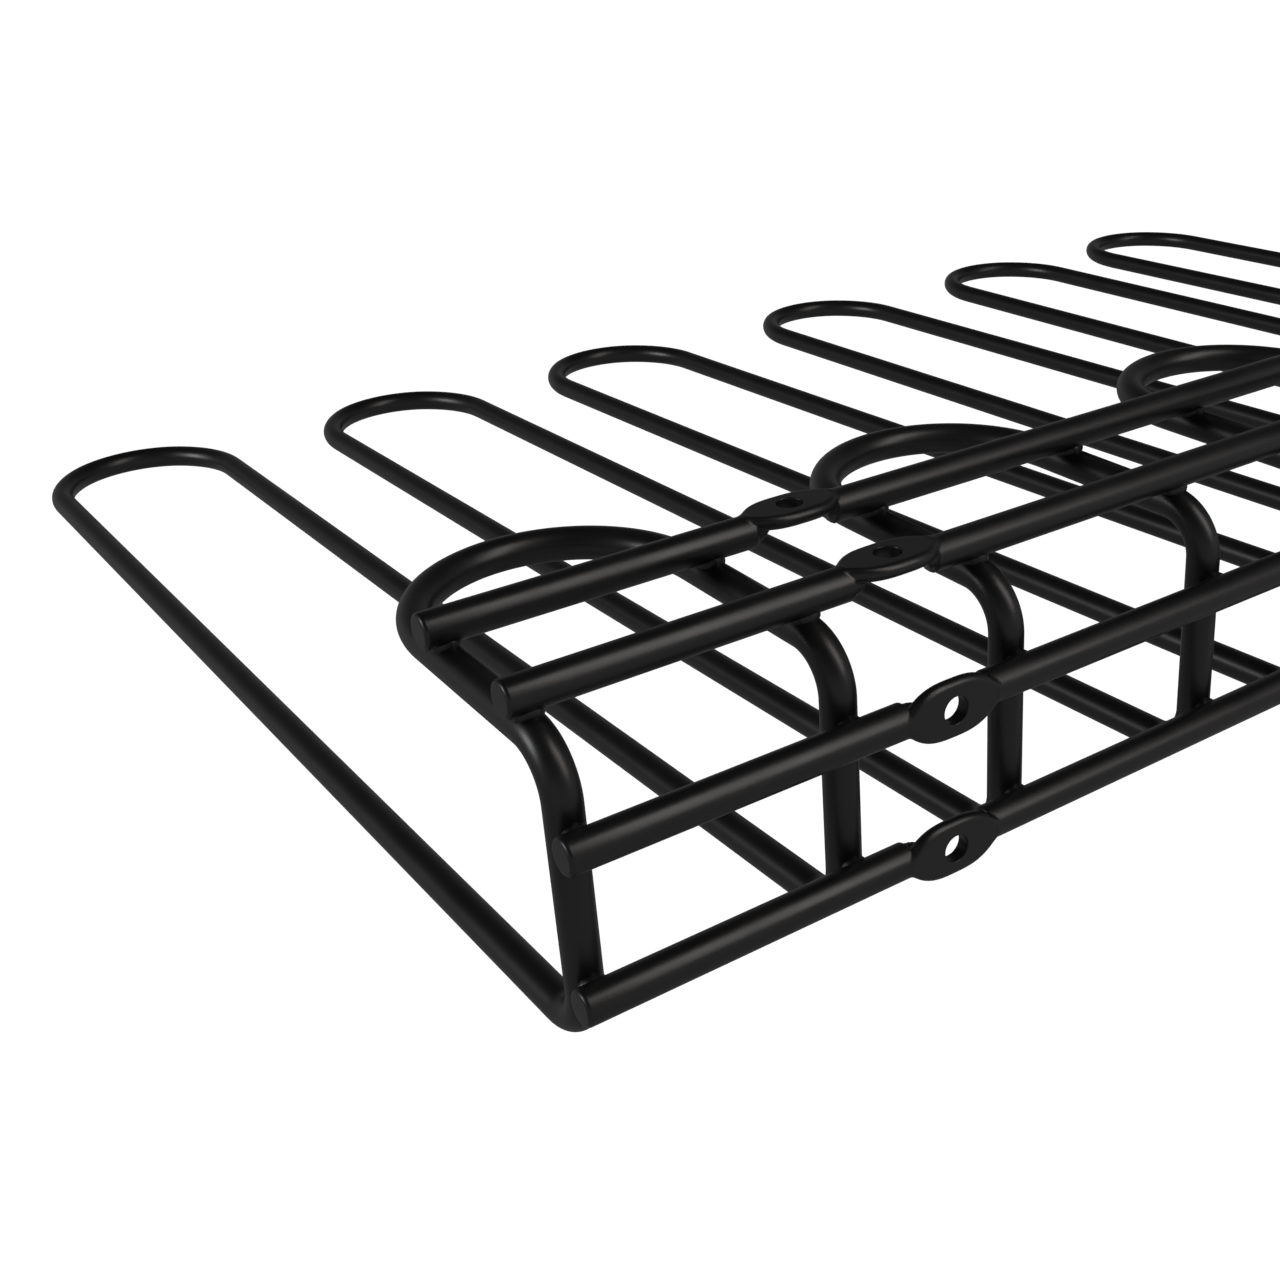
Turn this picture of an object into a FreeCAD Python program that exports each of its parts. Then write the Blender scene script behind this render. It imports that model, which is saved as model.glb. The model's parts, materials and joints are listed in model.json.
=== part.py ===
import FreeCAD, Part
import math
import os
import Sketcher

# Wire hanging rack for stemmed glasses, as a parametric FreeCAD document (millimetres).
#
# Six closed loops of bent round wire stand side by side.  Each loop is a long U below, two
# uprights and a short U hoop above.  Four straight rails with flattened eye lugs are welded
# across the loops: two on top of the hoops and two on the back of the uprights.
#
# Frame: X along the rails, Y from the wall plane out to the loop tips, Z up.  The origin is
# the centre of the four wall holes, on the plane that the back rails press against the wall.

Vector = FreeCAD.Vector
Rotation = FreeCAD.Rotation
Placement = FreeCAD.Placement
X_AXIS, Y_AXIS, Z_AXIS = Vector(1, 0, 0), Vector(0, 1, 0), Vector(0, 0, 1)

LOOP_COUNT = 6
TIP_ARC = math.radians(45)      # half the turn of the tight arc at a loop's tip

# alias, value, meaning
DIMENSIONS = [
    ("wire_dia", 6.0, "diameter of every wire"),
    ("loop_pitch", 83.0, "from one loop to the next"),
    ("loop_width", 48.0, "between the two legs of a loop, centre to centre"),
    ("loop_length", 326.5, "uprights to the tip of the long U, centre lines"),
    ("tip_side_radius", 30.0, "bend at each side of the tip"),
    ("bend_radius", 8.7, "bends at the foot and the head of the uprights"),
    ("hoop_height", 48.0, "long U to the hoop, centre lines, at the uprights"),
    ("hoop_length", 65.0, "uprights to the end of the hoop, centre lines"),
    ("hoop_rise", 1.8, "slope of the hoop in degrees, left by springback"),
    ("rail_length", 471.0, "end to end"),
    ("rail_end_round", 0.7, "rounding of the cut ends"),
    ("weld_sink", 0.16, "how far a rail is pressed into a loop wire"),
    ("weld_radius", 2.6, "bead at each crossing"),
    ("rear_reach", 34.2, "uprights to the rear rail on top of the hoops"),
    ("front_reach", 7.7, "uprights to the front rail on top of the hoops"),
    ("upper_height", 35.3, "upper back rail above the long U"),
    ("lower_height", 9.8, "lower back rail above the long U"),
    ("hole_spacing", 334.0, "between the two lugs of a rail"),
    ("hole_dia", 4.8, "screw hole"),
    ("lug_width", 10.2, "across the flattened eye"),
    ("lug_length", 17.2, "flattened eye, from the round wire to the round wire"),
    ("lug_neck_radius", 1.5, "hollow curve from the eye into the side of the wire"),
    ("lug_thickness", 2.5, "flattened eye"),
    ("press_length", 16.6, "pressed stretch at the far side of the wire"),
    ("press_floor", 10.4, "pressed stretch at the back of the eye, between the ramps"),
    ("lean_1", -0.4, "sideways lean of long U 1 in degrees, from the bending"),
    ("lean_2", -0.6, "long U 2"),
    ("lean_3", -1.1, "long U 3"),
    ("lean_4", 0.4, "long U 4"),
    ("lean_5", 1.7, "long U 5"),
    ("lean_6", 1.3, "long U 6"),
]


def make_sheet(doc):
    """The driving dimensions, one aliased cell each."""
    sheet = doc.addObject("Spreadsheet::Sheet", "Sizes")
    for row, (alias, value, meaning) in enumerate(DIMENSIONS, start=1):
        sheet.set(f"A{row}", alias)
        sheet.set(f"B{row}", str(value))
        sheet.set(f"C{row}", meaning)
        sheet.setAlias(f"B{row}", alias)
    doc.recompute()
    return sheet


def bind(thing, **expressions):
    """Bind properties to the sheet; a double underscore in a name stands for a dot."""
    for name, expression in expressions.items():
        thing.setExpression(name.replace("__", "."), expression)


def line(start, end):
    return Part.LineSegment(start, end).toShape()


def arc(centre, start, end):
    """The shorter circular edge about centre from start to end."""
    way = (start + end) * 0.5 - centre
    middle = centre + way * ((start - centre).Length / way.Length)
    return Part.Arc(start, middle, end).toShape()


def loop_half_path(sheet, lean, side):
    """Centre line of one half of a loop, from the tip of the long U to the end of the hoop.

    side is -1 for the left leg and 1 for the right one.  The loop's own frame has the
    uprights at y = 0 and the long U at z = 0.
    """
    along = Vector(math.sin(lean), math.cos(lean), 0)
    across = Vector(math.cos(lean), -math.sin(lean), 0) * side
    leg = X_AXIS * (side * sheet.loop_width / 2)
    bend = sheet.bend_radius

    # the tip: a tight arc in the middle and a wider one at the side, which meets the leg
    half = sheet.loop_width / 2 * math.cos(lean)
    wide = sheet.tip_side_radius
    tight = wide - (wide - half) / math.sin(TIP_ARC)
    turn = across * math.sin(TIP_ARC) + along * math.cos(TIP_ARC)
    tip = along * sheet.loop_length
    tight_centre = tip - along * tight
    joint = tight_centre + turn * tight
    wide_centre = joint - turn * wide
    side_end = wide_centre + across * wide

    # the foot bend, from the long leg into the upright
    foot_start = leg + along * bend
    foot_end = leg + Z_AXIS * bend

    # the head bend, the rising hoop and its round end
    rise = math.radians(sheet.hoop_rise)
    out = Vector(0, math.cos(rise), math.sin(rise))
    corner = leg + Z_AXIS * sheet.hoop_height
    setback = bend * math.tan((math.pi / 2 - rise) / 2)
    head_start = corner - Z_AXIS * setback
    head_end = corner + out * setback
    hoop_end = Z_AXIS * sheet.hoop_height + out * sheet.hoop_length
    hoop_centre = hoop_end - out * (sheet.loop_width / 2)
    hoop_side = hoop_centre + leg

    return [
        arc(tight_centre, tip, joint),
        arc(wide_centre, joint, side_end),
        line(side_end, foot_start),
        arc(foot_start + Z_AXIS * bend, foot_start, foot_end),
        line(foot_end, head_start),
        arc(head_start + Y_AXIS * bend, head_start, head_end),
        line(head_end, hoop_side),
        arc(hoop_centre, hoop_side, hoop_end),
    ]


def make_loop(doc, sheet, number):
    """One closed loop: the wire swept along its two halves, which meet at both ends."""
    label = f"wire_loop_{number}"
    lean = math.radians(sheet.get(f"lean_{number}"))
    halves = []
    for word, side in (("left", -1), ("right", 1)):
        edges = loop_half_path(sheet, lean, side)
        path = doc.addObject("Part::Feature", f"{label}_{word}_path")
        path.Shape = Part.Wire(edges)
        first = edges[0]
        section = doc.addObject("Part::Circle", f"{label}_{word}_section")
        section.Placement = Placement(
            first.valueAt(first.FirstParameter),
            Rotation(Z_AXIS, first.tangentAt(first.FirstParameter)),
        )
        bind(section, Radius="Sizes.wire_dia / 2")
        sweep = doc.addObject("Part::Sweep", f"{label}_{word}")
        sweep.Sections = [section]
        sweep.Spine = (path, [f"Edge{n + 1}" for n in range(len(edges))])
        sweep.Solid = True
        halves.append(sweep)
    loop = doc.addObject("Part::Fuse", label)
    loop.Base, loop.Tool = halves
    loop.Label = label
    middle = (LOOP_COUNT + 1) / 2
    bind(
        loop,
        Placement__Base__x=f"{number - middle} * Sizes.loop_pitch",
        Placement__Base__y="1.5 * Sizes.wire_dia - Sizes.weld_sink",
        Placement__Base__z="-(Sizes.upper_height + Sizes.lower_height) / 2",
    )
    return loop


def body_plane(body, role):
    """One of the body's own origin planes, such as XY_Plane."""
    return next(item for item in body.Origin.OriginFeatures if item.Role == role)


def new_sketch(body, name, role, lift=None):
    """An empty sketch on an origin plane, lifted off it by an expression if one is given."""
    sketch = body.newObject("Sketcher::SketchObject", name)
    sketch.AttachmentSupport = [(body_plane(body, role), "")]
    sketch.MapMode = "FlatFace"
    if lift:
        bind(sketch, AttachmentOffset__Base__z=lift)
    return sketch


def bound_circle(sketch, centre_x, radius, x_expression, radius_expression):
    """A circle on the sketch's horizontal axis."""
    index = sketch.addGeometry(Part.Circle(Vector(centre_x, 0, 0), Z_AXIS, radius), False)
    sketch.addConstraint(Sketcher.Constraint("PointOnObject", index, 3, -1))
    across = sketch.addConstraint(Sketcher.Constraint("DistanceX", -1, 1, index, 3, centre_x))
    size = sketch.addConstraint(Sketcher.Constraint("Radius", index, radius))
    bind(sketch, **{f"Constraints[{across}]": x_expression, f"Constraints[{size}]": radius_expression})


def eye_outline(sheet, centre_x):
    """The outline of a flattened eye, with hollow necks where it runs into the wire's sides.

    Each side is one wide arc that meets a neck arc at both ends, all tangent.
    """
    half_length = sheet.lug_length / 2
    half_width = sheet.lug_width / 2
    radius = sheet.wire_dia / 2
    neck = sheet.lug_neck_radius
    swell = half_width - radius
    wide = (half_length ** 2 + swell ** 2) / (2 * swell) - neck
    share = wide / (wide + neck)
    joint_x = share * half_length
    joint_y = half_width - wide + share * (radius + neck - half_width + wide)
    # the middle of the neck arc, seen from its centre halfway between its two ends
    half_turn = math.atan2(half_length - joint_x, radius + neck - joint_y) / 2
    middle_x = half_length - neck * math.sin(half_turn)
    middle_y = radius + neck - neck * math.cos(half_turn)

    def at(x, y):
        return Vector(centre_x + x, y, 0)

    edges = []
    for side in (radius, -radius):
        flip = side / radius
        left, right = at(-joint_x, flip * joint_y), at(joint_x, flip * joint_y)
        edges += [
            Part.Arc(at(-half_length, side), at(-middle_x, flip * middle_y), left),
            Part.Arc(left, at(0, flip * half_width), right),
            Part.Arc(right, at(middle_x, flip * middle_y), at(half_length, side)),
        ]
    for end in (-half_length, half_length):
        edges.append(Part.LineSegment(at(end, -radius), at(end, radius)))
    return edges


def make_rail(doc, sheet, label, turned):
    """A straight wire with two flattened eye lugs, flush with its upper side.

    Its own frame has the wire's axis on X and the lugs' screw faces towards +Z; turned lays
    those faces towards the wall.
    """
    body = doc.addObject("PartDesign::Body", label)
    body.Label = label
    radius = sheet.wire_dia / 2
    lug_xs = (-sheet.hole_spacing / 2, sheet.hole_spacing / 2)

    wire_sketch = new_sketch(body, f"{label}_wire_sketch", "YZ_Plane")
    wire_sketch.addGeometry(Part.Circle(Vector(0, 0, 0), Z_AXIS, radius), False)
    wire_sketch.addConstraint(Sketcher.Constraint("Coincident", 0, 3, -1, 1))
    wire_sketch.addConstraint(Sketcher.Constraint("Radius", 0, radius))
    bind(wire_sketch, **{"Constraints[1]": "Sizes.wire_dia / 2"})
    wire = body.newObject("PartDesign::Pad", f"{label}_wire")
    wire.Profile = wire_sketch
    wire.Midplane = True
    bind(wire, Length="Sizes.rail_length")
    doc.recompute()

    ends = [
        f"Edge{n + 1}"
        for n, edge in enumerate(wire.Shape.Edges)
        if edge.isClosed() and abs(abs(edge.CenterOfMass.x) - sheet.rail_length / 2) < radius
    ]
    rounding = body.newObject("PartDesign::Fillet", f"{label}_ends")
    rounding.Base = (wire, ends)
    bind(rounding, Radius="Sizes.rail_end_round")

    # pressing takes the lower part of the wire away at each lug, between two ramps
    press_sketch = new_sketch(body, f"{label}_press_sketch", "XZ_Plane")
    low, high = -radius, radius - sheet.lug_thickness
    reach, floor = sheet.press_length / 2, sheet.press_floor / 2
    for lug_x in lug_xs:
        corners = [
            Vector(lug_x - reach, low - radius, 0),
            Vector(lug_x + reach, low - radius, 0),
            Vector(lug_x + reach, low, 0),
            Vector(lug_x + floor, high, 0),
            Vector(lug_x - floor, high, 0),
            Vector(lug_x - reach, low, 0),
        ]
        for start, end in zip(corners, corners[1:] + corners[:1]):
            press_sketch.addGeometry(Part.LineSegment(start, end), False)
    press = body.newObject("PartDesign::Pocket", f"{label}_press")
    press.Profile = press_sketch
    press.Type = "ThroughAll"
    press.Midplane = True

    # and spreads it into a flat eye
    eye_sketch = new_sketch(
        body, f"{label}_eye_sketch", "XY_Plane", "Sizes.wire_dia / 2 - Sizes.lug_thickness"
    )
    for lug_x in lug_xs:
        eye_sketch.addGeometry(eye_outline(sheet, lug_x), False)
    eye = body.newObject("PartDesign::Pad", f"{label}_eyes")
    eye.Profile = eye_sketch
    bind(eye, Length="Sizes.lug_thickness")

    hole_sketch = new_sketch(body, f"{label}_hole_sketch", "XY_Plane")
    for side, lug_x in zip((-1, 1), lug_xs):
        bound_circle(
            hole_sketch, lug_x, sheet.hole_dia / 2,
            f"{side} * Sizes.hole_spacing / 2", "Sizes.hole_dia / 2",
        )
    holes = body.newObject("PartDesign::Pocket", f"{label}_holes")
    holes.Profile = hole_sketch
    holes.Type = "ThroughAll"
    holes.Midplane = True
    body.Tip = holes
    if turned:
        body.Placement = Placement(Vector(), Rotation(X_AXIS, 90))
    return body


def rail_seats(sheet):
    """Label, whether it is turned to the wall, and the axis point of each rail at x = 0.

    Every rail lies against the loops' wires, pressed in by weld_sink.
    """
    radius = sheet.wire_dia / 2
    reach = sheet.wire_dia - sheet.weld_sink
    upright_y = radius + reach
    base_z = -(sheet.upper_height + sheet.lower_height) / 2
    rise = math.radians(sheet.hoop_rise)

    # the rear top rail lies on the straight part of the hoop
    rear = Vector(
        0,
        upright_y + sheet.rear_reach,
        base_z + sheet.hoop_height + sheet.rear_reach * math.tan(rise) + reach / math.cos(rise),
    )
    # the front top rail lies on the head bend
    setback = sheet.bend_radius * math.tan((math.pi / 2 - rise) / 2)
    bend_z = base_z + sheet.hoop_height - setback
    off_centre = sheet.bend_radius - sheet.front_reach
    front = Vector(
        0,
        upright_y + sheet.front_reach,
        bend_z + math.sqrt((sheet.bend_radius + reach) ** 2 - off_centre ** 2),
    )
    bend_centre = Vector(0, upright_y + sheet.bend_radius, bend_z)
    return [
        ("rail_top_rear", False, rear, Vector(0, math.sin(rise), -math.cos(rise))),
        ("rail_top_front", False, front, (bend_centre - front).normalize()),
        ("rail_back_upper", True, Vector(0, radius, base_z + sheet.upper_height), Y_AXIS),
        ("rail_back_lower", True, Vector(0, radius, base_z + sheet.lower_height), Y_AXIS),
    ]


def leg_positions(sheet):
    """X of every upright, from left to right."""
    middle = (LOOP_COUNT - 1) / 2
    return [
        (number - middle) * sheet.loop_pitch + side * sheet.loop_width / 2
        for number in range(LOOP_COUNT)
        for side in (-1, 1)
    ]


def make_welds(doc, sheet, rail, seat, towards_wire, loops):
    """The weld beads of one rail: a ball at each crossing, less the rail and the loops."""
    label = rail.Label.replace("rail", "welds")
    contact = seat + towards_wire * ((sheet.wire_dia - sheet.weld_sink) / 2)
    # the balls' poles lie inside the two wires, and their seams between them
    turn = Rotation(Z_AXIS, towards_wire) * Rotation(Z_AXIS, 45)
    balls = []
    for index, leg_x in enumerate(leg_positions(sheet), start=1):
        ball = doc.addObject("Part::Sphere", f"{label}_ball_{index}")
        bind(ball, Radius="Sizes.weld_radius")
        ball.Placement = Placement(contact + X_AXIS * leg_x, turn)
        balls.append(ball)
    group = doc.addObject("Part::Compound", f"{label}_balls")
    group.Links = balls
    outside_rail = doc.addObject("Part::Cut", f"{label}_outside_rail")
    outside_rail.Base, outside_rail.Tool = group, rail
    beads = doc.addObject("Part::Cut", label)
    beads.Base, beads.Tool = outside_rail, loops
    beads.Label = label
    return beads


def check_document(doc, nodes):
    """Stop on a failed object or a node that isn't made of sound solids."""
    for item in doc.Objects:
        if "Invalid" in item.State or "Error" in item.State:
            raise RuntimeError(f"{item.Name} failed: {item.State}")
    for node in nodes:
        shape = node.Shape
        if shape.isNull() or not shape.isValid() or not shape.Solids:
            raise RuntimeError(f"{node.Label} is not a sound solid")


def main():
    doc = FreeCAD.newDocument("glass_rack")
    sheet = make_sheet(doc)
    loops = [make_loop(doc, sheet, number + 1) for number in range(LOOP_COUNT)]
    all_loops = doc.addObject("Part::Compound", "all_loops")
    all_loops.Links = loops
    nodes = list(loops)
    for label, turned, seat, towards_wire in rail_seats(sheet):
        rail = make_rail(doc, sheet, label, turned)
        rail.Placement = Placement(seat, rail.Placement.Rotation)
        nodes += [rail, make_welds(doc, sheet, rail, seat, towards_wire, all_loops)]
    doc.recompute()
    check_document(doc, nodes)

    os.makedirs("parts", exist_ok=True)
    for node in nodes:
        node.Shape.exportStep(f"parts/{node.Label}.step")
        box = node.Shape.BoundBox
        print(
            f"{node.Label:20s} solids {len(node.Shape.Solids):2d} volume {node.Shape.Volume:10.1f}"
            f"  x {box.XMin:8.2f} {box.XMax:8.2f}  y {box.YMin:7.2f} {box.YMax:7.2f}"
            f"  z {box.ZMin:7.2f} {box.ZMax:7.2f}"
        )


main()
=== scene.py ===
import json
import math

import bpy
import numpy as np
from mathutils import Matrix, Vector


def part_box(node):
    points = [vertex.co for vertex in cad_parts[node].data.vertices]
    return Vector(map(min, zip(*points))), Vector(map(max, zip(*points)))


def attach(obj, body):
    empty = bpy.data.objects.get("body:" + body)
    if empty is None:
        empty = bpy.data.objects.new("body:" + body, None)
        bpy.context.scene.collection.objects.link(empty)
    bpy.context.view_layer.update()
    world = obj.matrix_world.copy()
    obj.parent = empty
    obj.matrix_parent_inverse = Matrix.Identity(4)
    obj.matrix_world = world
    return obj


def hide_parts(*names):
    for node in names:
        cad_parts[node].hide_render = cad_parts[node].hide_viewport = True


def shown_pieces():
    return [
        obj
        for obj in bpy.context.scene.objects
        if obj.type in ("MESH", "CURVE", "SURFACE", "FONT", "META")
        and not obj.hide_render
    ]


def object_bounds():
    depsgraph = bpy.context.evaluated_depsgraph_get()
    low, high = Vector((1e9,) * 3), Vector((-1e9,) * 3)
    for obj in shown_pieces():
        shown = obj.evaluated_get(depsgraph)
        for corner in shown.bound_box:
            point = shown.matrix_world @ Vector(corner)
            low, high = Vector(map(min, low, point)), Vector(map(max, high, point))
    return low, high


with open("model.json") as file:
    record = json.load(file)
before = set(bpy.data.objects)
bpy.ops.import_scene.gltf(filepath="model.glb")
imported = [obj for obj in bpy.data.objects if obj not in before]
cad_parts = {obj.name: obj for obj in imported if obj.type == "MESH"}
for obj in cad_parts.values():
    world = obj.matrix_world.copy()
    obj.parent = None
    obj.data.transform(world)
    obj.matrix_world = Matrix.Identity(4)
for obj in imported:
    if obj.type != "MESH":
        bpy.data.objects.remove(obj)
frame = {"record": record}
cad_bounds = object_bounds()

# ---------------------------------------------------------------- sizes, in metres
WIRE_R = 0.003
WELD_SINK = 0.00016
WELD_R = 0.0026
LOOP_PITCH = 0.083
LOOP_WIDTH = 0.048
LOOP_LENGTH = 0.3265
TIP_SIDE_R = 0.030
TIP_ARC = math.radians(45)
BEND_R = 0.0087
HOOP_HEIGHT = 0.048
HOOP_LENGTH = 0.065
HOOP_RISE = math.radians(1.8)
LEANS = [math.radians(degrees) for degrees in (-0.4, -0.6, -1.1, 0.4, 1.7, 1.3)]
END_ROUND = 0.0007
LUG_HALF = 0.0051       # half the width of the flattened eye
LUG_TAPER = 0.00056     # what the half width loses at TAPER_AT from the hole; it grows as the cube
TAPER_AT = 0.005
LUG_THICK = 0.0025
LUG_EDGE = 0.0012       # the eye's edges bulge almost fully round
RIM_ROUND = 0.0002      # rounding of the hole's rim
SHOULDER = 0.0086       # from the hole: where the round wire ends
SHOULDER_ROUND = 0.0005
NECK_R = 0.0025         # what is left of the wire's radius between the shoulder and the eye
RAMP = 0.0031           # length of the slope under the eye, from the shoulder inwards
RUN_OUT = 0.0105        # from the hole: where the flat face has run out on the wire
TAIL_HALF = 0.0024      # half the width of that face where it starts, TAIL_START before the shoulder
TAIL_START = 0.0004
TAIL_TAPER = 0.45       # what its half width loses for each unit of length
TAIL_BLEND = 0.0005
FILLET = 0.0003         # hollow where the eye meets the wire
PATCH = 0.0030          # half the length of the window round the hole that is meshed in rings
RIM_MARGIN = 0.00006    # narrow flat ring round a rounded rim, which keeps its shading clean
END_MARGIN = 0.0001     # the same inside a rail's rounded end
SECTION_REACH = 0.007   # farther from the eye's middle than any point of a section
BEAD_SIDES, BEAD_ROWS = 28, 15
BEAD_SIZES = (0.94, 0.98)       # range of bead radii, as shares of WELD_R
BEAD_LUMPS = 0.05

HOLES = next(m for m in frame["record"]["mounts"] if m["name"] == "wall_holes")["dims"]
HOLE_R = HOLES["hole_r_mm"] / 1000
HOLE_X = HOLES["spacing_x_mm"] / 2000
TOP_RAILS = ("rail_top_rear", "rail_top_front")
BACK_RAILS = ("rail_back_upper", "rail_back_lower")
RAILS = TOP_RAILS + BACK_RAILS
X_AXIS, Y_AXIS, Z_AXIS = np.eye(3)

CAMERA_PLACE = (-0.31485, -0.16911, 0.13313)
CAMERA_TURN = (65.0298, 2.4775, -36.0898)       # degrees
LIGHT_AIM = (-0.19, 0.02, 0.0)                  # the near end of the rails
FLOOR_DROP = 0.0005                             # the paper lies this far under the rack
FLOOR_HALF, FLOOR_NEAR, FLOOR_FAR = 8.0, -6.0, 3.0
SWEEP_R, SWEEP_TOP = 2.0, 6.0


# ---------------------------------------------------------------- mesh helpers
def new_piece(name, points, faces, *nodes):
    """A smooth-shaded mesh object that stands for these CAD nodes."""
    mesh = bpy.data.meshes.new(name)
    mesh.from_pydata([tuple(point) for point in points], [], faces)
    mesh.validate()
    mesh.shade_smooth()
    piece = bpy.data.objects.new(name, mesh)
    bpy.context.scene.collection.objects.link(piece)
    if nodes:
        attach(piece, "root")
        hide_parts(*nodes)
    return piece


def arc(centre, start, end, step=math.radians(3)):
    """Points on the shorter circular arc about centre, both ends included."""
    radius = np.linalg.norm(start - centre)
    first = (start - centre) / radius
    last = (end - centre) / radius
    second = last - (last @ first) * first
    second /= np.linalg.norm(second)
    angle = math.acos(max(-1.0, min(1.0, last @ first)))
    turns = np.linspace(0, angle, math.ceil(angle / step) + 1)
    return [centre + radius * (math.cos(t) * first + math.sin(t) * second) for t in turns]


def straight(start, end, step=0.012):
    """Points on a straight run, both ends included."""
    count = math.ceil(np.linalg.norm(end - start) / step) + 1
    return [start + (end - start) * t for t in np.linspace(0, 1, count)]


def closed_tube(path, radius, sides=44):
    """Points and faces of a round wire along a closed path, framed by parallel transport."""
    count = len(path)
    tangents = np.roll(path, -1, axis=0) - np.roll(path, 1, axis=0)
    tangents /= np.linalg.norm(tangents, axis=1)[:, None]
    normal = np.cross(tangents[0], Z_AXIS)
    normals = []
    for tangent in tangents:
        normal = normal - (normal @ tangent) * tangent
        normal /= np.linalg.norm(normal)
        normals.append(normal)
    # the twist left over where the path closes is spread along it
    twist = math.atan2(normals[-1] @ np.cross(tangents[0], normals[0]), normals[-1] @ normals[0])
    points, faces = [], []
    for ring, (centre, tangent, normal) in enumerate(zip(path, tangents, normals)):
        side = np.cross(tangent, normal)
        here, there = ring * sides, (ring + 1) % count * sides
        for step in range(sides):
            angle = 2 * math.pi * step / sides - twist * ring / count
            points.append(centre + radius * (math.cos(angle) * normal + math.sin(angle) * side))
            after = (step + 1) % sides
            faces.append((here + step, here + after, there + after, there + step))
    return points, faces


# ---------------------------------------------------------------- loops
def half_loop(lean, side):
    """Centre line of half a loop, from the tip of the long U to the end of the hoop."""
    along = np.array([math.sin(lean), math.cos(lean), 0])
    across = np.array([math.cos(lean), -math.sin(lean), 0]) * side
    leg = X_AXIS * side * LOOP_WIDTH / 2
    half = LOOP_WIDTH / 2 * math.cos(lean)
    tight = TIP_SIDE_R - (TIP_SIDE_R - half) / math.sin(TIP_ARC)
    turn = across * math.sin(TIP_ARC) + along * math.cos(TIP_ARC)
    tip = along * LOOP_LENGTH
    tight_centre = tip - along * tight
    joint = tight_centre + turn * tight
    wide_centre = joint - turn * TIP_SIDE_R
    side_end = wide_centre + across * TIP_SIDE_R
    foot_start = leg + along * BEND_R
    foot_end = leg + Z_AXIS * BEND_R
    out = np.array([0, math.cos(HOOP_RISE), math.sin(HOOP_RISE)])
    corner = leg + Z_AXIS * HOOP_HEIGHT
    setback = BEND_R * math.tan((math.pi / 2 - HOOP_RISE) / 2)
    head_start = corner - Z_AXIS * setback
    head_end = corner + out * setback
    hoop_end = Z_AXIS * HOOP_HEIGHT + out * HOOP_LENGTH
    hoop_centre = hoop_end - out * LOOP_WIDTH / 2
    hoop_side = hoop_centre + leg
    runs = [
        arc(tight_centre, tip, joint),
        arc(wide_centre, joint, side_end),
        straight(side_end, foot_start),
        arc(foot_start + Z_AXIS * BEND_R, foot_start, foot_end),
        straight(foot_end, head_start),
        arc(head_start + Y_AXIS * BEND_R, head_start, head_end),
        straight(head_end, hoop_side),
        arc(hoop_centre, hoop_side, hoop_end),
    ]
    return [tip] + [point for run in runs for point in run[1:]]


def make_loops():
    """One bent wire for each loop of the frame."""
    upright_y = rail_frame("rail_back_upper")[0][1] + 2 * WIRE_R - WELD_SINK
    for number, lean in enumerate(LEANS, start=1):
        node = f"wire_loop_{number}"
        base_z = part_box(node)[0][2] + WIRE_R
        origin = np.array([(number - 3.5) * LOOP_PITCH, upright_y, base_z])
        path = half_loop(lean, -1) + half_loop(lean, 1)[::-1][1:-1]
        points, faces = closed_tube(np.array(path) + origin, WIRE_R)
        new_piece(f"bent_loop_{number}", points, faces, node)


# ---------------------------------------------------------------- rails
FLAT, EDGE, SIDE = 14, 7, 2     # steps over half the flat face, one rounded edge, the side
HALF = 2 * FLAT + 2 * EDGE + SIDE
ROUND = 2 * HALF                # points round a rail
TAKEN = 12                      # steps of the flat face that the hole's window takes


def rail_frame(node):
    """(middle, across, up, length) of a rail: up is the way its screw faces look."""
    low, high = (np.array(corner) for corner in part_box(node))
    middle = (low + high) / 2
    if node in TOP_RAILS:
        middle[2] = high[2] - WIRE_R
        return middle, Y_AXIS, Z_AXIS, high[0] - low[0]
    middle[1] = low[1] + WIRE_R
    return middle, Z_AXIS, -Y_AXIS, high[0] - low[0]


def smooth(value):
    """0 to 1 with a soft start and end."""
    value = max(0.0, min(1.0, value))
    return value * value * (3 - 2 * value)


def smooth_least(one, other, reach):
    """The smaller of two distances, rounded where they are closer than reach."""
    near = np.maximum(reach - np.abs(one - other), 0) / reach
    return np.minimum(one, other) - near * near * reach / 4


def section_rays():
    """Directions from the eye's middle height to the points of its widest section."""
    flat, rise = LUG_HALF - LUG_EDGE, LUG_THICK / 2
    turns = [math.pi / 2 * n / EDGE for n in range(EDGE + 1)]
    quarter = [(flat * n / FLAT, rise) for n in range(FLAT)]
    quarter += [(flat + LUG_EDGE * math.sin(t), rise - LUG_EDGE * (1 - math.cos(t))) for t in turns]
    half = quarter + [(LUG_HALF, 0)] + [(across, -up) for across, up in reversed(quarter)]
    rays = np.array(half + [(-across, up) for across, up in half[-2:0:-1]])
    return rays / np.linalg.norm(rays, axis=1)[:, None]


RAYS = section_rays()


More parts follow.
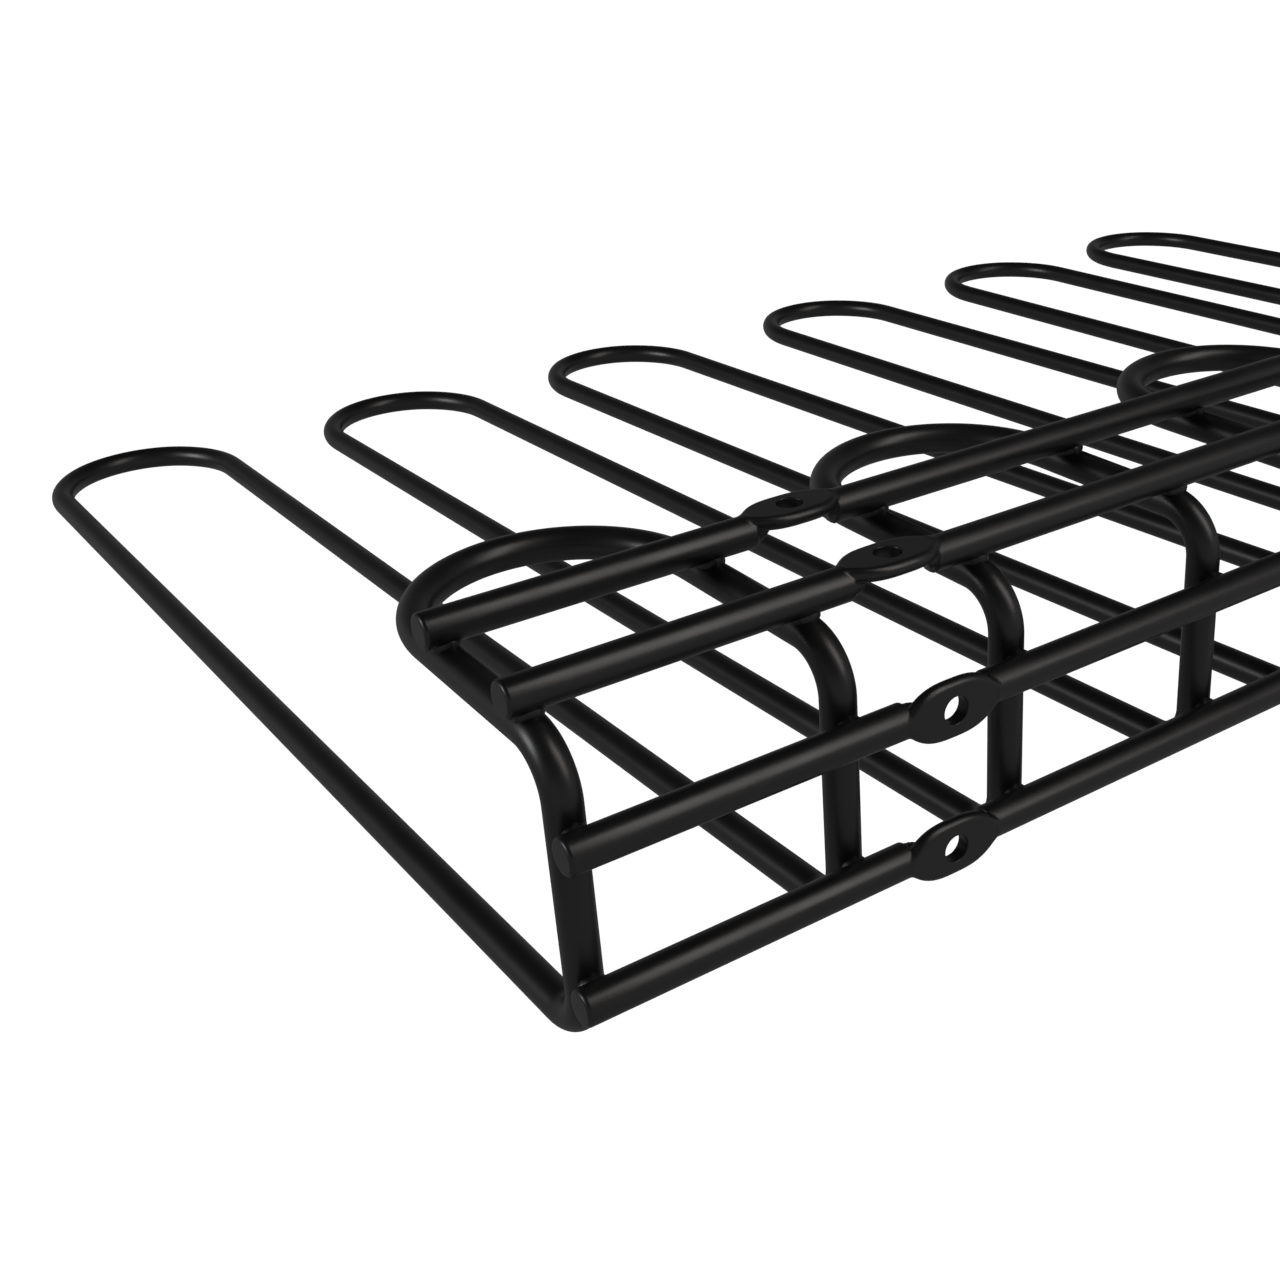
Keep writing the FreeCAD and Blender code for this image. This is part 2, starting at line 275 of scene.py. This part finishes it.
def rail_distance(points, from_hole):
    """Signed distance from a rail's surface, for (across, up) points of one section."""
    wire = np.linalg.norm(points, axis=1)
    if from_hole >= RUN_OUT:
        return wire - WIRE_R
    top, middle = WIRE_R, WIRE_R - LUG_THICK / 2

    # the wire, necked in past its shoulder and cut away below by the ramp
    past = smooth((SHOULDER - from_hole) / SHOULDER_ROUND)
    wire = wire - (WIRE_R + (NECK_R - WIRE_R) * past)
    share = min(1.0, (SHOULDER - from_hole) / RAMP)
    if share > 0:
        cut = -WIRE_R + (top - LUG_THICK + WIRE_R + FILLET) * share - points[:, 1]
        roof = points[:, 1] - middle
        wire = np.maximum(-smooth_least(-wire, -cut, FILLET), roof)

    # the eye, whose flat face runs out along the wire's top
    lens = LUG_HALF - LUG_TAPER * (from_hole / TAPER_AT) ** 3
    tail = TAIL_HALF - TAIL_TAPER * max(0.0, from_hole - SHOULDER + TAIL_START)
    width = -smooth_least(-lens, -tail, TAIL_BLEND)
    edge = min(LUG_EDGE, width)
    corner = np.abs(points - (0, middle)) - (width - edge, LUG_THICK / 2 - edge)
    eye = np.linalg.norm(np.maximum(corner, 0), axis=1) + np.minimum(corner.max(axis=1), 0) - edge
    fade = smooth((RUN_OUT - from_hole) / (RUN_OUT - SHOULDER))
    return smooth_least(wire, eye, FILLET * fade + 1e-6)


def rail_section(x):
    """The outline of a rail at x: where each ray from the eye's middle height leaves it."""
    from_hole = abs(abs(x) - HOLE_X)
    middle = np.array([0, WIRE_R - LUG_THICK / 2])
    inner, outer = np.zeros(ROUND), np.full(ROUND, SECTION_REACH)
    for _ in range(30):
        reach = (inner + outer) / 2
        inside = rail_distance(middle + RAYS * reach[:, None], from_hole) < 0
        inner, outer = np.where(inside, reach, inner), np.where(inside, outer, reach)
    return middle + RAYS * inner[:, None]


def circle_section(radius):
    """A round outline with the points of a rail's plain stretch."""
    return rail_section(0.0) * (radius / WIRE_R)


def rail_stations(length):
    """X of every section between the rounded ends, and the first station of each patch."""
    half = length / 2 - END_ROUND
    outward = list(np.linspace(0, PATCH, TAKEN + 1))
    outward += list(np.linspace(PATCH, SHOULDER - RAMP, 10)[1:])
    outward += list(np.linspace(SHOULDER - RAMP, SHOULDER, 25)[1:])
    outward += list(np.linspace(SHOULDER, RUN_OUT, 10)[1:])
    eye = [-x for x in reversed(outward)] + outward[1:]
    left = list(np.linspace(-half, -HOLE_X - RUN_OUT, 7)[:-1]) + [x - HOLE_X for x in eye]
    middle = list(np.linspace(left[-1], -left[-1], 30)[1:-1])
    stations = left + middle + [-x for x in reversed(left)]
    first = 6 + len(outward) - 1 - TAKEN
    mirrored = len(stations) - 1 - first - 2 * TAKEN
    return stations, (first, mirrored)


def make_rail(node):
    """A straight wire with rounded ends and two pressed eyes, each with its screw hole."""
    middle, across, up, length = rail_frame(node)
    stations, patches = rail_stations(length)
    points, faces = [], []

    def add_ring(x, outline):
        start = len(points)
        for a, u in outline:
            points.append(middle + X_AXIS * x + across * a + up * u)
        return start

    # the two ends, from a ring just inside the flat face to the full section
    turns = [math.pi / 2 * n / 6 for n in range(7)]
    profile = [(0, WIRE_R - END_ROUND - END_MARGIN)]
    profile += [(END_ROUND * (1 - math.cos(t)), WIRE_R - END_ROUND * (1 - math.sin(t))) for t in turns]
    rings = [add_ring(depth - length / 2, circle_section(radius)) for depth, radius in profile[:-1]]
    first_section = len(rings)
    rings += [add_ring(x, rail_section(x)) for x in stations]
    rings += [add_ring(length / 2 - depth, circle_section(radius)) for depth, radius in profile[-2::-1]]

    top = set(range(TAKEN)) | set(range(ROUND - TAKEN, ROUND))
    bottom = set(range(HALF - TAKEN, HALF + TAKEN))
    for index, (here, there) in enumerate(zip(rings, rings[1:])):
        in_patch = any(0 <= index - first_section - first < 2 * TAKEN for first in patches)
        for step in range(ROUND):
            if in_patch and (step in top or step in bottom):
                continue
            after = (step + 1) % ROUND
            faces.append((here + step, there + step, there + after, here + after))
    for ring, end, order in ((rings[0], -1, 1), (rings[-1], 1, -1)):
        points.append(middle + X_AXIS * end * length / 2)
        fan = [ring + step for step in range(ROUND)]
        for here, there in zip(fan, fan[1:] + fan[:1]):
            faces.append((len(points) - 1, here, there)[::order])

    for first, centre in zip(patches, (-HOLE_X, HOLE_X)):
        window = rings[first_section + first:first_section + first + 2 * TAKEN + 1]
        add_hole(points, faces, window, centre, middle, across, up)
    new_piece(node.replace("rail", "pressed_rail"), points, faces, node)


def add_hole(points, faces, window, centre, middle, across, up):
    """Fills the square left out of both flat faces with rings round a screw hole."""
    last = 2 * TAKEN

    def border(column):
        """Point numbers of the square's border, counter-clockwise seen from the screw's side."""
        right = [window[last] + column(n) for n in range(-TAKEN, TAKEN)]
        far = [window[n] + column(TAKEN) for n in range(last, 0, -1)]
        left = [window[0] + column(n) for n in range(TAKEN, -TAKEN, -1)]
        near = [window[n] + column(-TAKEN) for n in range(last)]
        return right + far + left + near

    upper = border(lambda n: n % ROUND)
    lower = border(lambda n: HALF - n)
    offsets = [points[number] - middle - X_AXIS * centre for number in upper]
    angles = [math.atan2(offset @ across, offset @ X_AXIS) for offset in offsets]
    turns = [math.pi / 2 * n / 5 for n in range(6)]
    rim = [(HOLE_R + RIM_ROUND * (1 - math.sin(t)), RIM_ROUND * (1 - math.cos(t))) for t in turns]
    profile = [(HOLE_R + RIM_ROUND + RIM_MARGIN, 0)] + rim
    depths = [(radius, WIRE_R - depth) for radius, depth in profile]
    depths += [(radius, WIRE_R - LUG_THICK + depth) for radius, depth in reversed(profile)]
    previous = upper
    for radius, height in depths:
        ring = []
        for angle in angles:
            spot = X_AXIS * (centre + radius * math.cos(angle)) + across * radius * math.sin(angle)
            ring.append(len(points))
            points.append(middle + spot + up * height)
        join_rings(faces, previous, ring)
        previous = ring
    join_rings(faces, previous, lower)


def join_rings(faces, outer, inner):
    """Adds the faces between two closed rings of point numbers."""
    for n in range(len(outer)):
        after = (n + 1) % len(outer)
        faces.append((outer[n], outer[after], inner[after], inner[n]))


# ---------------------------------------------------------------- welds
def towards_wires(rail):
    """The direction from a rail's axis to the contacts with the loops."""
    middle, _, up, _ = rail_frame(rail)
    if rail == "rail_top_rear":
        return np.array([0, math.sin(HOOP_RISE), -math.cos(HOOP_RISE)])
    if rail == "rail_top_front":
        low, high = (np.array(corner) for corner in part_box(rail.replace("rail", "welds")))
        towards = (low + high) / 2 - middle
        towards[0] = 0
        return towards / np.linalg.norm(towards)
    return -up


def make_welds(rail, rng):
    """Lumpy beads in the corners where one rail crosses the twelve wires."""
    middle = rail_frame(rail)[0]
    towards = towards_wires(rail)
    around, rows = BEAD_SIDES, BEAD_ROWS
    points, faces = [], []
    for number in range(2 * len(LEANS)):
        x = (number // 2 - 2.5) * LOOP_PITCH + (number % 2 - 0.5) * LOOP_WIDTH
        centre = middle + X_AXIS * x + towards * (WIRE_R - WELD_SINK / 2)
        phases = rng.uniform(0, 2 * math.pi, 4)
        size = WELD_R * rng.uniform(*BEAD_SIZES)
        points.append(centre + size * Z_AXIS)
        start = len(points)
        for row in range(1, rows):
            polar = math.pi * row / rows
            for step in range(around):
                turn = 2 * math.pi * step / around
                lump = math.sin(3 * turn + phases[0]) * math.sin(2 * polar + phases[1])
                lump += 0.6 * math.sin(7 * turn + phases[2]) * math.sin(5 * polar + phases[3])
                reach = size * (1 + BEAD_LUMPS * lump * math.sin(polar))
                way = math.sin(polar) * (math.cos(turn) * X_AXIS + math.sin(turn) * Y_AXIS)
                points.append(centre + reach * (way + math.cos(polar) * Z_AXIS))
        last = len(points) - around
        for step in range(around):
            after = (step + 1) % around
            faces.append((start - 1, start + step, start + after))
            for here in range(start, last, around):
                there = here + around
                faces.append((here + step, there + step, there + after, here + after))
            faces.append((last + step, last + around, last + after))
        points.append(centre - size * Z_AXIS)
    new_piece(rail.replace("rail", "weld_beads"), points, faces, rail.replace("rail", "welds"))


# ---------------------------------------------------------------- materials
def node_material(name):
    material = bpy.data.materials.new(name)
    material.use_nodes = True
    tree = material.node_tree
    tree.nodes.clear()
    return material, tree, tree.nodes.new


def powder_coat():
    """Satin black powder coat: a faint orange peel, with slightly uneven gloss and colour."""
    material, tree, add = node_material("powder_coat")
    output = add("ShaderNodeOutputMaterial")
    shader = add("ShaderNodeBsdfPrincipled")
    shader.inputs["Specular IOR Level"].default_value = 0.5
    place = add("ShaderNodeTexCoord")

    peel = add("ShaderNodeTexNoise")
    peel.inputs["Scale"].default_value = 1400
    peel.inputs["Detail"].default_value = 2
    bump = add("ShaderNodeBump")
    bump.inputs["Strength"].default_value = 0.12
    bump.inputs["Distance"].default_value = 0.00004

    drift = add("ShaderNodeTexNoise")
    drift.inputs["Scale"].default_value = 90
    drift.inputs["Detail"].default_value = 4
    gloss = add("ShaderNodeMapRange")
    gloss.inputs["From Min"].default_value = 0.3
    gloss.inputs["From Max"].default_value = 0.7
    gloss.inputs["To Min"].default_value = 0.33
    gloss.inputs["To Max"].default_value = 0.40
    tint = add("ShaderNodeValToRGB")
    tint.color_ramp.elements[0].position = 0.3
    tint.color_ramp.elements[0].color = (0.0035, 0.0035, 0.0037, 1)
    tint.color_ramp.elements[1].position = 0.7
    tint.color_ramp.elements[1].color = (0.0060, 0.0058, 0.0056, 1)

    link = tree.links.new
    link(place.outputs["Object"], peel.inputs["Vector"])
    link(place.outputs["Object"], drift.inputs["Vector"])
    link(peel.outputs["Fac"], bump.inputs["Height"])
    link(bump.outputs["Normal"], shader.inputs["Normal"])
    link(drift.outputs["Fac"], gloss.inputs["Value"])
    link(gloss.outputs["Result"], shader.inputs["Roughness"])
    link(drift.outputs["Fac"], tint.inputs["Fac"])
    link(tint.outputs["Color"], shader.inputs["Base Color"])
    link(shader.outputs["BSDF"], output.inputs["Surface"])
    return material


def pale_floor():
    """Evenly lit white paper."""
    material, tree, add = node_material("pale_floor")
    output = add("ShaderNodeOutputMaterial")
    glow = add("ShaderNodeEmission")
    glow.inputs["Color"].default_value = (1, 1, 1, 1)
    glow.inputs["Strength"].default_value = 1.05
    tree.links.new(glow.outputs["Emission"], output.inputs["Surface"])
    return material


# ---------------------------------------------------------------- studio
def make_floor():
    """A wide paper sweep: flat under the rack, curving up far behind it."""
    low = cad_bounds[0][2]
    rows = [(y, low - FLOOR_DROP) for y in (FLOOR_NEAR, FLOOR_FAR)]
    for turn in (math.pi / 2 * n / 12 for n in range(1, 13)):
        rows.append((FLOOR_FAR + SWEEP_R * math.sin(turn), low + SWEEP_R * (1 - math.cos(turn))))
    rows.append((FLOOR_FAR + SWEEP_R, low + SWEEP_TOP))
    points = [(x, y, z) for y, z in rows for x in (-FLOOR_HALF, FLOOR_HALF)]
    faces = [(2 * n, 2 * n + 1, 2 * n + 3, 2 * n + 2) for n in range(len(rows) - 1)]
    floor = new_piece("paper_floor", points, faces)
    floor.data.materials.append(pale_floor())
    floor.visible_glossy = False
    floor.visible_diffuse = False
    floor.visible_shadow = False


def softbox(name, direction, distance, width, height, radiance, colour):
    """An area light that looks at the near end of the rails from the given direction."""
    way = np.array(direction) / np.linalg.norm(direction)
    data = bpy.data.lights.new(name, "AREA")
    data.shape = "RECTANGLE"
    data.size, data.size_y = width, height
    data.energy = radiance * math.pi * width * height
    data.color = colour
    lamp = bpy.data.objects.new(name, data)
    lamp.location = way * distance + LIGHT_AIM
    lamp.rotation_euler = Vector(-way).to_track_quat("-Z", "Y").to_euler()
    bpy.context.scene.collection.objects.link(lamp)


def make_world():
    """Dim studio: palest at the horizon, dark above, and a little dimmer behind the rack."""
    world = bpy.data.worlds.new("studio")
    bpy.context.scene.world = world
    world.use_nodes = True
    tree = world.node_tree
    tree.nodes.clear()
    add, link = tree.nodes.new, tree.links.new
    output = add("ShaderNodeOutputWorld")
    background = add("ShaderNodeBackground")
    background.inputs["Color"].default_value = (0.985, 0.965, 1.0, 1)
    place = add("ShaderNodeTexCoord")
    split = add("ShaderNodeSeparateXYZ")
    link(place.outputs["Generated"], split.inputs["Vector"])

    height = add("ShaderNodeMapRange")
    height.inputs["From Min"].default_value = -1
    height.inputs["From Max"].default_value = 1
    link(split.outputs["Z"], height.inputs["Value"])
    ramp = add("ShaderNodeValToRGB")
    levels = ((-1, 0.26), (-0.3, 0.33), (0, 0.40), (0.15, 0.30), (0.35, 0.17), (0.6, 0.06))
    for _ in levels[2:]:
        ramp.color_ramp.elements.new(0.5)
    for element, (up, level) in zip(ramp.color_ramp.elements, levels):
        element.position = (up + 1) / 2
        element.color = (level, level, level, 1)
    link(height.outputs["Result"], ramp.inputs["Fac"])

    depth = add("ShaderNodeMapRange")
    depth.inputs["From Min"].default_value = -0.8
    depth.inputs["From Max"].default_value = 0.3
    depth.inputs["To Min"].default_value = 1.0
    depth.inputs["To Max"].default_value = 0.65
    link(split.outputs["Y"], depth.inputs["Value"])
    product = add("ShaderNodeMath")
    product.operation = "MULTIPLY"
    link(ramp.outputs["Color"], product.inputs[0])
    link(depth.outputs["Result"], product.inputs[1])
    link(product.outputs["Value"], background.inputs["Strength"])
    link(background.outputs["Background"], output.inputs["Surface"])


def make_camera():
    """A close, strongly converging view of the near end, from a little above the rails."""
    data = bpy.data.cameras.new("camera")
    data.lens = 45.575
    data.sensor_width = 36
    data.shift_x = -0.1224
    data.shift_y = -0.0137
    data.clip_start = 0.01
    camera = bpy.data.objects.new("camera", data)
    camera.location = CAMERA_PLACE
    camera.rotation_euler = [math.radians(a) for a in CAMERA_TURN]
    bpy.context.scene.collection.objects.link(camera)
    bpy.context.scene.camera = camera


# ---------------------------------------------------------------- the whole scene
make_loops()
for rail_node in RAILS:
    make_rail(rail_node)
random_source = np.random.default_rng(7)
for rail_node in RAILS:
    make_welds(rail_node, random_source)
coat = powder_coat()
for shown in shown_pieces():
    shown.data.materials.clear()
    shown.data.materials.append(coat)

make_floor()
make_world()
softbox("key_light", (0.42, -0.59, 0.68), 0.9, 0.30, 0.80, 3.8, (1.0, 0.95, 0.91))
softbox("left_light", (-0.87, 0.33, 0.37), 2.5, 0.8, 0.8, 10.0, (0.96, 0.98, 1.0))
make_camera()
bpy.context.scene.view_settings.view_transform = "Standard"
